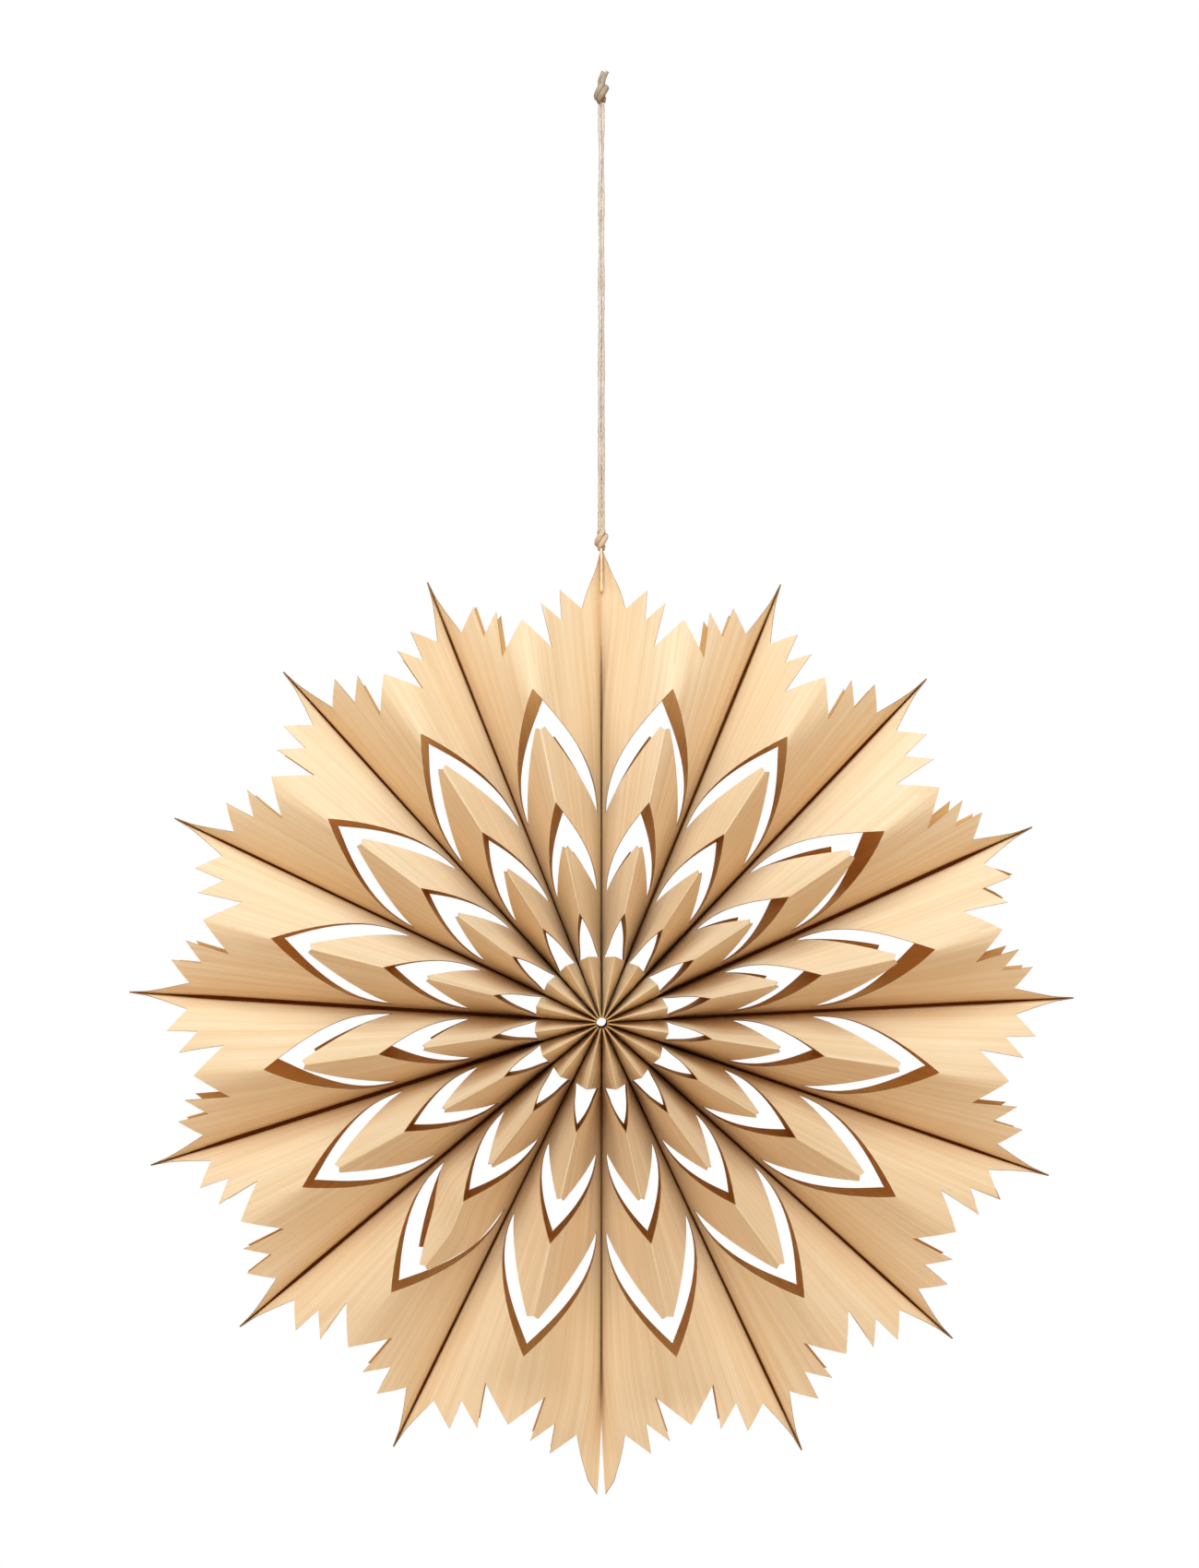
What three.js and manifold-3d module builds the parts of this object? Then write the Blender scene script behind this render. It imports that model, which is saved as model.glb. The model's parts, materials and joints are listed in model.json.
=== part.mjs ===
import * as THREE from 'three';
import { mergeVertices } from 'three/addons/utils/BufferGeometryUtils.js';
import Module from 'manifold-3d';

const wasm = await Module();
wasm.setup();

// A hanging star of folded wood veneer. Flat veneer sleeves are glued side by side into a pack
// that opens like a fan, from the hanging spike at the top round both sides to the closure at the
// bottom. The origin is the hanging point under the top knot, the front faces -Y and Z is up.
// Lengths are in millimetres and angles in degrees.

// The star
const sleevesPerWing = 8;
const spikeLength = 201; // star centre to the tip of a spike
const closureStretch = 3.9; // how much wider the sleeve at the closure opens than the first ones
const stretchPower = 5; // how late along a wing the sleeves begin to open wider
const rimLean = 72; // lean of a panel at the rim of the widest sleeve

// The veneer sheet of one sleeve
const veneer = 0.3;
const glueGap = 0.3; // between neighbouring sleeves
const hubSlit = 0.06; // half the slit left open inside a sleeve at the hub
const gluedHalf = 2.4; // half the strip that is glued to the next sleeve
const bendWidth = 5; // strip beside the glue that leans half as far as the panel

// The rim, as drops below the spike's tip and shares of the spread from valley to ridge
const spikeTip = { drop: 6, half: 4.6 }; // the point of a spike, half its width on the sheet
const firstNotch = { drop: 26.5, share: 0.2 };
const firstTooth = { drop: 18.8, share: 0.46 };
const secondNotch = { drop: 32, share: 0.475 };
const secondTooth = { drop: 24.8, share: 0.71 };
const thirdNotch = { drop: 43.6, share: 0.65 };
const ridgePeakDrop = 32;

// The windows: their tip's distance from the star centre, how far below it a petal starts and the
// window ends, and the land between the bend and the window's valley end
const outerWindow = { tip: 139.5, petalGap: 16, height: 51.5, land: 2.3 };
const middleWindow = { tip: 91.7, petalGap: 18, height: 37, land: 5.5 };
const innerWindow = { tip: 45.5, height: 18, land: 12.7 };
const hornHalf = 3.2; // a petal ends in two small horns beside its ridge
const hornNotch = 1.5;
// The curve of a window's edge, as shares of the window's width and height
const leafCurve = { tipSide: 0.55, tipDown: 0.357, endSide: -0.02, endUp: 0.283, steps: 4 };
const dropCurve = { side: 0.25, up: 0.5, steps: 3 };

// The glue lines
const glueFilm = 0.1;
const glueStart = 12; // from the star centre
const glueTipMargin = 5; // bare veneer at the spike's tip
const glueInset = 0.3; // glue line inside the edge of the glued strip

// The closure at the bottom spike
const closureSplay = 2; // each half spike stands off at its tip
const magnetAt = 141; // from the star centre
const magnet = { length: 9, width: 4, thickness: 1.2 };
const magnetSeat = 0.1; // adhesive under a magnet

// The twine
const twine = 1.5; // diameter of one strand
const twineSides = 8;
const twineClearance = 0.3;
const slotAt = 183.2; // from the star centre to where the twine goes through the spike
const slotRise = 1.2; // room above it for the twine's turn into the valleys
const slotHalf = 4.7; // half the slot from front to back
const loopSteps = 26;
const legLength = 181; // doubled twine between the two knots
const legTurns = 5.5; // turns of the two legs round each other
const legSteps = 33;
const lowerKnot = { width: 5.6, height: 8 };
const topKnot = { width: 6.6, height: 8.2 };
const knotSides = 12;
const tailLength = 4.6; // cut ends above the top knot
const tailSpread = 1.4; // how far the cut ends lean over
const tailSteps = 3;

const overcut = 1; // how far a cutter reaches past what it cuts
const mergeDistance = 1e-4;
const samePoint = 1e-3; // outline points nearer than this are one point

// Sizes that follow from the driving dimensions
const radians = THREE.MathUtils.degToRad;
const stretchOf = (k) => closureStretch * (k / sleevesPerWing) ** stretchPower;
const wingSleeves = Array.from({ length: sleevesPerWing }, (_, i) => i + 1);
const stretchSum = wingSleeves.reduce((sum, k) => sum + stretchOf(k), 0);
const openings = wingSleeves.map((k) => (180 - stretchSum) / sleevesPerWing + stretchOf(k));
const rimSlope = Math.sin(radians(rimLean));
const ridgePeak = spikeLength - ridgePeakDrop;
const widestHalf = radians(openings[sleevesPerWing - 1] / 2);
const narrowestHalf = radians(openings[0] / 2);
const bendEnd = gluedHalf + bendWidth;
const panelRoot = gluedHalf + bendWidth / 2; // where the straight panel would meet the valley plane
const flatWidth = (ridgePeak * Math.tan(widestHalf) - glueGap / 2) / rimSlope - bendWidth / 2;
const panelWidth = bendEnd + flatWidth;
const hubRadius = (glueGap / 2 + veneer + hubSlit) / Math.tan(narrowestHalf);
const hubFlare = 3 * hubRadius; // by here the slit has opened enough for straight walls
const tipShoulder = spikeLength - spikeTip.drop;
const beyondTip = spikeLength + overcut;
const twineRadius = twine / 2;
const starCentreZ = -(twineClearance * 3 + legLength + lowerKnot.height + spikeLength);

const veneerFinish = { color: '#e7c592', roughness: 0.62, metalness: 0 };
const glueFinish = { color: '#e9dcc0', roughness: 0.4, metalness: 0 };
const magnetFinish = { color: '#8f9294', roughness: 0.35, metalness: 1 };
const twineFinish = { color: '#d6c0a0', roughness: 0.9, metalness: 0 };

function toSolid(geometry) {
  const bare = geometry.index ? geometry.toNonIndexed() : geometry.clone();
  bare.deleteAttribute('normal');
  bare.deleteAttribute('uv');
  const merged = mergeVertices(bare, mergeDistance);
  return new wasm.Manifold(new wasm.Mesh({
    numProp: 3,
    vertProperties: new Float32Array(merged.attributes.position.array),
    triVerts: new Uint32Array(merged.index.array),
  }));
}

function toGeometry(solid) {
  const mesh = solid.getMesh();
  const geometry = new THREE.BufferGeometry();
  geometry.setAttribute('position', new THREE.BufferAttribute(mesh.vertProperties, mesh.numProp));
  geometry.setIndex(new THREE.BufferAttribute(mesh.triVerts, 1));
  return geometry;
}

function named(name, geometry, finish) {
  const mesh = new THREE.Mesh(geometry, new THREE.MeshStandardMaterial(finish));
  mesh.name = name;
  return mesh;
}

// The fold: s runs along a glue line from the star centre, t across a panel from the glue line to
// the ridge. In a sleeve's own frame Z is its middle line, X is across it and Y is its depth.

function splayAt(s, sleeve, side) {
  const past = Math.max(s - magnetAt, 0) / (spikeLength - magnetAt);
  return sleeve.closes && side > 0 ? closureSplay * past ** 2 : 0;
}

function leanAt(s, sleeve) {
  const slope = (s * Math.tan(sleeve.half) - glueGap / 2) / (bendWidth / 2 + flatWidth);
  return { slope, held: Math.min(slope, rimSlope) };
}

// How far the outside of the sheet stands off the valley plane, and how deep it lies
function sectionAt(s, t, sleeve, side) {
  const { slope, held } = leanAt(s, sleeve);
  const onBend = THREE.MathUtils.clamp(t - gluedHalf, 0, bendWidth);
  const onFlat = Math.max(t - bendEnd, 0);
  const nearGlue = 1 - onFlat / flatWidth;
  const off = glueGap / 2 + slope * (onBend / 2 + onFlat) + splayAt(s, sleeve, side) * nearGlue;
  const bendRise = Math.sqrt(1 - (held / 2) ** 2);
  const flatRise = Math.sqrt(1 - held ** 2);
  return { off, depth: Math.min(t, gluedHalf) + onBend * bendRise + onFlat * flatRise };
}

// The same point moved inwards by the sheet's thickness, mitred at the two creases and the ridge
function insideOf({ off, depth }, s, t, sleeve) {
  const { held } = leanAt(s, sleeve);
  if (t >= panelWidth) return { off, depth: depth - veneer / held };
  const before = t > gluedHalf ? Math.asin(held / 2) : 0;
  const after = t > gluedHalf ? Math.asin(held) : Math.asin(held / 2);
  const mitre = veneer / Math.cos((after - before) / 2);
  const mean = (before + after) / 2;
  return { off: off + mitre * Math.cos(mean), depth: depth - mitre * Math.sin(mean) };
}

function acrossAndAlong(s, off, sleeve) {
  const across = s * Math.sin(sleeve.half) - off * Math.cos(sleeve.half);
  const along = s * Math.cos(sleeve.half) + off * Math.sin(sleeve.half);
  return [across, along];
}

// One ring of the sleeve's section, as corners with their side, front or back, and t
const ringCorners = [
  [1, -1, gluedHalf], [1, 1, gluedHalf], [1, 1, bendEnd], [1, 1, panelWidth], [-1, 1, bendEnd],
  [-1, 1, gluedHalf], [-1, -1, gluedHalf], [-1, -1, bendEnd], [1, -1, panelWidth], [1, -1, bendEnd],
];

function ringAt(s, sleeve, inside) {
  return ringCorners.map(([side, face, t]) => {
    const outer = sectionAt(s, t, sleeve, side);
    const { off, depth } = inside ? insideOf(outer, s, t, sleeve) : outer;
    const [across, along] = acrossAndAlong(s, off, sleeve);
    return new THREE.Vector3(side * across, face * depth, along);
  });
}

function tubeWall(rows, sleeve) {
  const outer = rows.map((s) => ringAt(s, sleeve, false));
  const inner = rows.map((s) => ringAt(s, sleeve, true));
  const points = [];
  const quad = (a, b, c, d) => points.push(a, b, c, a, c, d);
  const last = rows.length - 1;
  ringCorners.forEach((_, j) => {
    const k = (j + 1) % ringCorners.length;
    for (let i = 0; i < last; i += 1) {
      quad(outer[i][j], outer[i][k], outer[i + 1][k], outer[i + 1][j]);
      quad(inner[i][j], inner[i + 1][j], inner[i + 1][k], inner[i][k]);
    }
    quad(outer[0][j], inner[0][j], inner[0][k], outer[0][k]);
    quad(outer[last][k], inner[last][k], inner[last][j], outer[last][j]);
  });
  return toSolid(new THREE.BufferGeometry().setFromPoints(points));
}

// A point given on the sheet as (t, s), folded with it and seen from the front
function foldedPoint(point, side, sleeve) {
  const { off } = sectionAt(point.y, point.x, sleeve, side);
  const [across, along] = acrossAndAlong(point.y, off, sleeve);
  return new THREE.Vector2(side * across, along);
}

// A solid with an outline seen from the front, pushed through the star from front to back
function throughSolid(outline) {
  const depth = 2 * (panelWidth + overcut);
  const solid = new THREE.ExtrudeGeometry(new THREE.Shape(outline), { depth, bevelEnabled: false });
  return toSolid(solid.rotateX(Math.PI / 2).translate(0, depth / 2, 0));
}

function dieCutter(halfOutline, sleeve) {
  const right = halfOutline.map((point) => foldedPoint(point, 1, sleeve));
  const left = halfOutline.map((point) => foldedPoint(point, -1, sleeve)).reverse();
  const isNew = (point, i, all) => i === 0 || point.distanceTo(all[i - 1]) > samePoint;
  return throughSolid([...right, ...left].filter(isNew));
}

function leafWindow({ tip, petalGap, height, land }) {
  const valley = bendEnd + land;
  const reach = panelWidth - valley;
  const end = tip - height;
  const petal = tip - petalGap;
  const edge = new THREE.Path();
  edge.moveTo(panelWidth, tip);
  edge.bezierCurveTo(
    panelWidth - leafCurve.tipSide * reach, tip - leafCurve.tipDown * height,
    valley + leafCurve.endSide * reach, end + leafCurve.endUp * height,
    valley, end,
  );
  edge.lineTo(panelWidth - hornHalf, petal);
  edge.lineTo(panelWidth, petal - hornNotch);
  return edge.getPoints(leafCurve.steps);
}

function dropWindow({ tip, height, land }) {
  const valley = bendEnd + land;
  const reach = panelWidth - valley;
  const base = tip - height;
  const edge = new THREE.Path();
  edge.moveTo(panelWidth, tip);
  edge.quadraticCurveTo(
    valley + dropCurve.side * reach, base + dropCurve.up * height,
    valley, base,
  );
  edge.lineTo(panelWidth, base);
  return edge.getPoints(dropCurve.steps);
}

function rimOutline() {
  const spread = panelWidth - panelRoot;
  const onRim = ({ drop, share }) => (
    new THREE.Vector2(panelRoot + share * spread, spikeLength - drop)
  );
  const teeth = [firstNotch, firstTooth, secondNotch, secondTooth, thirdNotch].map(onRim);
  return [
    new THREE.Vector2(spikeTip.half, beyondTip),
    new THREE.Vector2(spikeTip.half, tipShoulder),
    ...teeth,
    new THREE.Vector2(panelWidth, ridgePeak),
  ];
}

// Everything of the sleeve inside the rim: the folded rim outline, closed round the hub end
function rimKeeper(sleeve) {
  const rim = rimOutline();
  const right = rim.map((point) => foldedPoint(point, 1, sleeve));
  const left = rim.map((point) => foldedPoint(point, -1, sleeve)).reverse();
  const [tipAcross, tipAlong] = acrossAndAlong(beyondTip, -2 * glueGap, sleeve);
  const hubAcross = 2 * glueGap + hubRadius * Math.sin(sleeve.half);
  return throughSolid([
    new THREE.Vector2(-hubAcross, 0), new THREE.Vector2(hubAcross, 0),
    new THREE.Vector2(tipAcross, tipAlong), ...right,
    ...left.slice(1), new THREE.Vector2(-tipAcross, tipAlong),
  ]);
}

// A cutter square to a face of the sleeve: its outline is along the glue line and in depth
function faceCutter(outline, sleeve, side) {
  const deep = glueGap + veneer + closureSplay + overcut;
  const shape = new THREE.Shape(outline.map(([s, y]) => new THREE.Vector2(y, s)));
  const cutter = new THREE.ExtrudeGeometry(shape, { depth: 2 * deep, bevelEnabled: false });
  cutter.translate(0, 0, -deep);
  cutter.rotateX(Math.PI / 2).rotateZ(-Math.PI / 2);
  return toSolid(cutter.rotateY(side * sleeve.half));
}

function tipCutter(sleeve, side) {
  const beyond = beyondTip + overcut;
  const { half } = spikeTip;
  const outline = [
    [beyond, -half], [beyond, half], [tipShoulder, half], [spikeLength, 0], [tipShoulder, -half],
  ];
  return faceCutter(outline, sleeve, side);
}

function slotCutter(sleeve) {
  const base = slotAt - twineRadius - twineClearance;
  const top = slotAt + twineRadius + twineClearance + slotRise;
  const outline = [[base, -slotHalf], [base, slotHalf], [top, slotHalf], [top, -slotHalf]];
  return faceCutter(outline, sleeve, -1);
}

function sleeveGeometry(sleeve) {
  const middlePetal = middleWindow.tip - middleWindow.petalGap;
  const rows = [hubRadius, hubFlare, middlePetal, magnetAt, ridgePeak, beyondTip];
  let wall = tubeWall(rows, sleeve).intersect(rimKeeper(sleeve));
  for (const half of [leafWindow(outerWindow), leafWindow(middleWindow), dropWindow(innerWindow)]) {
    wall = wall.subtract(dieCutter(half, sleeve));
  }
  for (const side of [1, -1]) wall = wall.subtract(tipCutter(sleeve, side));
  if (sleeve.hangs) wall = wall.subtract(slotCutter(sleeve));
  return toGeometry(wall);
}

function glueStrip(end) {
  const width = 2 * (gluedHalf - glueInset);
  const length = end - glueStart;
  return new THREE.BoxGeometry(glueFilm, width, length).translate(0, 0, glueStart + length / 2);
}

const star = new THREE.Group();
star.position.z = starCentreZ;

const numbered = (name, n) => `${name}_${String(n).padStart(2, '0')}`;
const glueEnd = spikeLength - glueTipMargin;
const allSleeves = 2 * sleevesPerWing;
let valley = 0;
wingSleeves.forEach((k) => {
  const opening = radians(openings[k - 1]);
  const sleeve = { half: opening / 2, hangs: k === 1, closes: k === sleevesPerWing };
  const geometry = sleeveGeometry(sleeve);
  const right = named(numbered('sleeve', k), geometry, veneerFinish);
  right.rotation.y = valley + sleeve.half;
  const left = named(numbered('sleeve', allSleeves + 1 - k), geometry, veneerFinish);
  left.rotation.set(0, -valley - sleeve.half, Math.PI, 'YXZ');
  star.add(right, left);
  valley += opening;
  if (!sleeve.closes) {
    const rightGlue = named(numbered('glue_line', k), glueStrip(glueEnd), glueFinish);
    const leftGlue = named(numbered('glue_line', allSleeves - k), glueStrip(glueEnd), glueFinish);
    rightGlue.rotation.y = valley;
    leftGlue.rotation.y = -valley;
    star.add(rightGlue, leftGlue);
  }
});
const topGlueEnd = slotAt - twineRadius - twineClearance;
star.add(named('glue_line_top', glueStrip(topGlueEnd), glueFinish));

// A bar magnet lies behind the closing face of each end sleeve
const magnetOff = glueGap / 2 + veneer + magnetSeat + magnet.thickness / 2;
for (const [name, side] of [['closure_magnet_right', 1], ['closure_magnet_left', -1]]) {
  const bar = new THREE.BoxGeometry(magnet.thickness, magnet.width, magnet.length);
  const mesh = named(name, bar, magnetFinish);
  mesh.position.set(side * magnetOff, 0, -magnetAt);
  star.add(mesh);
}

// The twine goes through the slot, is knotted above the spike's tip, runs doubled to the top knot
// and ends in two cut tails

function tube(points, steps) {
  const section = new THREE.Shape(Array.from({ length: twineSides }, (_, i) => {
    const turn = (2 * Math.PI * i) / twineSides;
    return new THREE.Vector2(twineRadius * Math.cos(turn), twineRadius * Math.sin(turn));
  }));
  const extrudePath = new THREE.CatmullRomCurve3(points);
  return new THREE.ExtrudeGeometry(section, { steps, bevelEnabled: false, extrudePath });
}

// Half of a knot's outline, as shares of its width and height
const knotProfile = [
  [0, -0.5], [0.26, -0.5], [0.43, -0.28], [0.5, -0.02], [0.44, 0.26], [0.27, 0.5], [0, 0.5],
];

function knot({ width, height }) {
  const points = knotProfile.map(([r, z]) => new THREE.Vector2(r * width, z * height));
  return new THREE.LatheGeometry(points, knotSides).rotateX(Math.PI / 2);
}

const legBase = -twineClearance - legLength;
const lowerKnotTop = legBase - twineClearance;
// Half of the loop, as depth and distance from the star centre, from the knot to the slot
const loopHalf = [
  [1.5, 200.9], [2.6, 199.6], [3.9, 197.6], [4.8, 195], [5.3, 191.8], [5.4, 187.6], [4.7, 184.2],
  [2.6, slotAt],
];
const loopFront = loopHalf.map(([y, s]) => new THREE.Vector3(0, -y, starCentreZ + s));
const loopBack = loopHalf.map(([y, s]) => new THREE.Vector3(0, y, starCentreZ + s)).reverse();
const loopTurn = new THREE.Vector3(0, 0, starCentreZ + slotAt);
const twineLoop = tube([...loopFront, loopTurn, ...loopBack], loopSteps);

function leg(phase) {
  const apart = twineRadius + twineClearance;
  const points = Array.from({ length: legSteps + 1 }, (_, i) => {
    const share = i / legSteps;
    const turn = 2 * Math.PI * legTurns * share + phase;
    const height = legBase + legLength * share;
    return new THREE.Vector3(apart * Math.cos(turn), apart * Math.sin(turn), height);
  });
  return tube(points, legSteps);
}

function tail(side) {
  const start = topKnot.height + 2 * twineClearance;
  const near = side * (twineRadius + twineClearance / 2);
  const points = [0, 0.5, 1].map((share) => (
    new THREE.Vector3(near + tailSpread * share ** 2, 0, start + tailLength * share)
  ));
  return tube(points, tailSteps);
}

const cord = new THREE.Group();
const lowerKnotMesh = named('lower_knot', knot(lowerKnot), twineFinish);
lowerKnotMesh.position.z = lowerKnotTop - lowerKnot.height / 2;
const topKnotMesh = named('top_knot', knot(topKnot), twineFinish);
topKnotMesh.position.z = twineClearance + topKnot.height / 2;
cord.add(
  named('twine_loop', twineLoop, twineFinish),
  lowerKnotMesh,
  named('twine_leg_right', leg(0), twineFinish),
  named('twine_leg_left', leg(Math.PI), twineFinish),
  topKnotMesh,
  named('twine_end_right', tail(1), twineFinish),
  named('twine_end_left', tail(-1), twineFinish),
);

const ornament = new THREE.Group();
ornament.add(star, cord);

export default ornament;
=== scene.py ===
# A folding star of wood veneer on a doubled jute twine, dressed over its frame.
# Sizes in the dictionaries are millimetres and degrees; Blender's own lengths are metres.
import json
import math
import random

import bmesh
import bpy
from mathutils import Matrix, Vector, geometry, noise


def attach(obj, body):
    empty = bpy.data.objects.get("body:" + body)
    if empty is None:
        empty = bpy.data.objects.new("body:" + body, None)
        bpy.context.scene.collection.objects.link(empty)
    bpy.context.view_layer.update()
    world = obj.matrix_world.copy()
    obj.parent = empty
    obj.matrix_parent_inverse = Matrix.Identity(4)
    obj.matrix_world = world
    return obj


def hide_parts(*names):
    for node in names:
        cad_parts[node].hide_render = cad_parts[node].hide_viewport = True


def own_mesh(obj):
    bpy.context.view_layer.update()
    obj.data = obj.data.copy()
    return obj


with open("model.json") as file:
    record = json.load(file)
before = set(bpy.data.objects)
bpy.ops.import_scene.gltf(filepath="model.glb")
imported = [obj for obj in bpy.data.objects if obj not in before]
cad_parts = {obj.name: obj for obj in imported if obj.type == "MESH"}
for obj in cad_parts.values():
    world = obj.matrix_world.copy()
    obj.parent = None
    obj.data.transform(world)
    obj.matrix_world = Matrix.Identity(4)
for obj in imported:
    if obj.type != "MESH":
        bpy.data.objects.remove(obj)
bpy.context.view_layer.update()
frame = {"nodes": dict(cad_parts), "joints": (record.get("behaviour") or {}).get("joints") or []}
mm = 0.001
starCentre = Vector(frame["joints"][0]["pos_m"])
print("frame: %d nodes, star centre at %.4f m" % (len(frame["nodes"]), starCentre.z))


# Shared helpers

def linear(hexColour):
    values = [int(hexColour[i:i + 2], 16) / 255 for i in (1, 3, 5)]
    return [v / 12.92 if v <= 0.04045 else ((v + 0.055) / 1.055) ** 2.4 for v in values] + [1.0]


def addNode(tree, kind, inputs=None, **settings):
    node = tree.nodes.new(kind)
    for name, value in settings.items():
        setattr(node, name, value)
    for name, value in (inputs or {}).items():
        if isinstance(value, bpy.types.NodeSocket):
            tree.links.new(value, node.inputs[name])
        else:
            node.inputs[name].default_value = value
    return node


def newMaterial(name):
    material = bpy.data.materials.new(name)
    material.use_nodes = True
    material.node_tree.nodes.clear()
    return material, material.node_tree


def finishMaterial(tree, shader):
    addNode(tree, "ShaderNodeOutputMaterial", {"Surface": shader})


def smoothShare(x):
    x = min(max(x, 0.0), 1.0)
    return x * x * (3 - 2 * x)


def fadeIn(x, start, end):
    return smoothShare((x - start) / (end - start))


# Takes a bmesh drawn in millimetres
def makePiece(bm, name, materials, body, nodes):
    bmesh.ops.scale(bm, verts=bm.verts, vec=(mm, mm, mm))
    mesh = bpy.data.meshes.new(name)
    bm.to_mesh(mesh)
    bm.free()
    piece = bpy.data.objects.new(name, mesh)
    bpy.context.scene.collection.objects.link(piece)
    for material in materials:
        mesh.materials.append(material)
    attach(piece, body)
    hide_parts(*nodes)
    return piece


# Camera: level with the star's upper half, 1.55 m away, the frame lifted by shift
photo = {
    "width": 1300, "height": 1700,  # pixels
    "star": (652, 1108),            # where the star's centre is seen
    "level": (636, 1065),           # where the line of sight meets the star's plane squarely
    "pixel": 0.392,                 # millimetres at the star
    "distance": 1550, "sensor": 36,
}


def placeCamera():
    pixel = photo["pixel"] * mm
    camera = bpy.data.cameras.new("camera")
    camera.sensor_fit = "VERTICAL"
    camera.sensor_height = photo["sensor"]
    camera.lens = photo["sensor"] * photo["distance"] * mm / (photo["height"] * pixel)
    camera.shift_x = (photo["width"] / 2 - photo["level"][0]) / photo["height"]
    camera.shift_y = (photo["level"][1] - photo["height"] / 2) / photo["height"]
    view = bpy.data.objects.new("camera", camera)
    bpy.context.scene.collection.objects.link(view)
    sideways = (photo["level"][0] - photo["star"][0]) * pixel
    above = (photo["star"][1] - photo["level"][1]) * pixel
    view.location = starCentre + Vector((sideways, -photo["distance"] * mm, above))
    view.rotation_euler = (math.radians(90), 0, 0)
    bpy.context.scene.camera = view


placeCamera()


# Jute twine, loosely spun and unbleached: dull, pale and streaky along its fibres
juteFibre = {
    "wide": 0.35, "long": 2.6, "cloud": 9,              # coarser than real fibres, so that they show
    "lowFrom": -140, "lowTo": -192, "lowShare": 0.75,   # heights where its lower colour comes in, and how far
}


def juteMaterial(name, pale, brown, low):
    material, tree = newMaterial(name)
    place = addNode(tree, "ShaderNodeTexCoord").outputs["Object"]
    wide, long = 1 / (juteFibre["wide"] * mm), 1 / (juteFibre["long"] * mm)
    drawn = addNode(tree, "ShaderNodeMapping", {"Vector": place, "Scale": (wide, wide, long)})
    fibre = addNode(tree, "ShaderNodeTexNoise", {
        "Vector": drawn.outputs["Vector"], "Scale": 1.0, "Detail": 2.0}).outputs["Fac"]
    cloud = addNode(tree, "ShaderNodeTexNoise", {
        "Vector": place, "Scale": 1 / (juteFibre["cloud"] * mm), "Detail": 1.0}).outputs["Fac"]
    both = addNode(tree, "ShaderNodeMath", {0: fibre, 1: cloud}, operation="ADD").outputs[0]
    share = addNode(tree, "ShaderNodeMapRange", {"Value": both, "From Min": 0.72, "From Max": 1.28})
    colour = addNode(tree, "ShaderNodeMix", {
        "Factor": share.outputs[0], 6: linear(pale), 7: linear(brown)}, data_type="RGBA")
    # towards the bottom the twine turns to its lower colour
    height = addNode(tree, "ShaderNodeSeparateXYZ", {"Vector": place}).outputs["Z"]
    lowShare = addNode(tree, "ShaderNodeMapRange", {
        "Value": height, "From Min": juteFibre["lowFrom"] * mm, "From Max": juteFibre["lowTo"] * mm,
        "To Max": juteFibre["lowShare"]}).outputs[0]
    bottomTinted = addNode(tree, "ShaderNodeMix", {
        "Factor": lowShare, 6: colour.outputs[2], 7: linear(low)}, data_type="RGBA")
    relief = addNode(tree, "ShaderNodeBump", {"Height": fibre, "Strength": 0.12, "Distance": 0.1 * mm})
    shader = addNode(tree, "ShaderNodeBsdfPrincipled", {
        "Base Color": bottomTinted.outputs[2], "Roughness": 0.9, "IOR": 1.5, "Specular IOR Level": 0.15,
        "Normal": relief.outputs["Normal"]})
    finishMaterial(tree, shader.outputs["BSDF"])
    return material


juteTwine = juteMaterial("jute_twine", "#D6C4B3", "#B7A28B", "#CBAC80")
# A darker twine for the top knot and the cut ends
juteKnotted = juteMaterial("jute_twine_darker_tone", "#B39C80", "#7E6A50", "#B39C80")
# The loop's twine is painted paler, as painted light against the shade of the fold it lies in
juteLitInFold = juteMaterial("jute_twine_painted_light_in_the_fold", "#EFD3A8", "#E3C294", "#F2D0A0")

# The doubled twine: heights are from the hanging point, and the legs go a little into the lower knot
twine = {
    "strand": 1.5,                                        # diameter
    "plyRadius": 0.62, "plyOff": 0.16, "plyPitch": 8,     # two plies make a strand
    "lump": 0.16, "lumpScale": 0.9, "lumpApart": 9,       # a ply is spun uneven, each in its own way
    "ringStep": 0.6, "plySides": 8,
    "legBase": -183, "legTop": -0.3, "legPoints": 34, "legWaves": 2.6,
    "legApart": (0.82, 0.7), "legRoll": (0.5, 1.1),       # both from the base to the top
    "hairs": 50, "hairLength": (0.5, 1.8), "hairRadius": 0.035, "hairTip": 0.4, "hairTilt": 0.9,
    "slotAt": 183.2,                                      # the rest is from the star centre
    "loopHalf": [                                         # depth and distance, knot to slot
        (1.5, 200.9), (2.3, 199), (2.6, 196), (2.4, 192), (2.2, 188), (2.2, 185.4), (1.8, 183.9),
        (0.9, 183.3)],
    "loopThick": 0.75, "loopBend": (186, 183.2, 1.3),    # it swells where it turns into the slot
    "pinched": 0.5,                                       # share of its width left in the folded pack
    "endStart": 7.6, "endLength": 5.4, "endSpread": 1.7, "endHairs": 14,
    "endApart": 0.9, "endThick": 1.05, "endShares": (-0.3, 0, 0.5, 1), "endHairsApart": 0.3,
}
lowerKnot = {
    "at": -185.9, "width": 6, "height": 10.6, "widest": 0.52,  # widest at this share of its height
    "wraps": 2.0, "slant": 0.8, "strand": 1.2,
}
topKnot = {
    "at": 4.0, "width": 6.6, "height": 10, "widest": 0.46,
    "wraps": 1.8, "slant": 0.9, "strand": 1.3,
}
knotTurns = {
    "pointsPerWrap": 22, "sides": 12,
    "endCut": 0.04, "waist": 0.22,      # share of the swell cut off at an end, and of the reach left there
    "thinEnd": 0.75, "thinOver": 0.25,  # a turn starts and ends thinner
    "inset": 1.6, "coreTall": 1.35,
}


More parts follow.
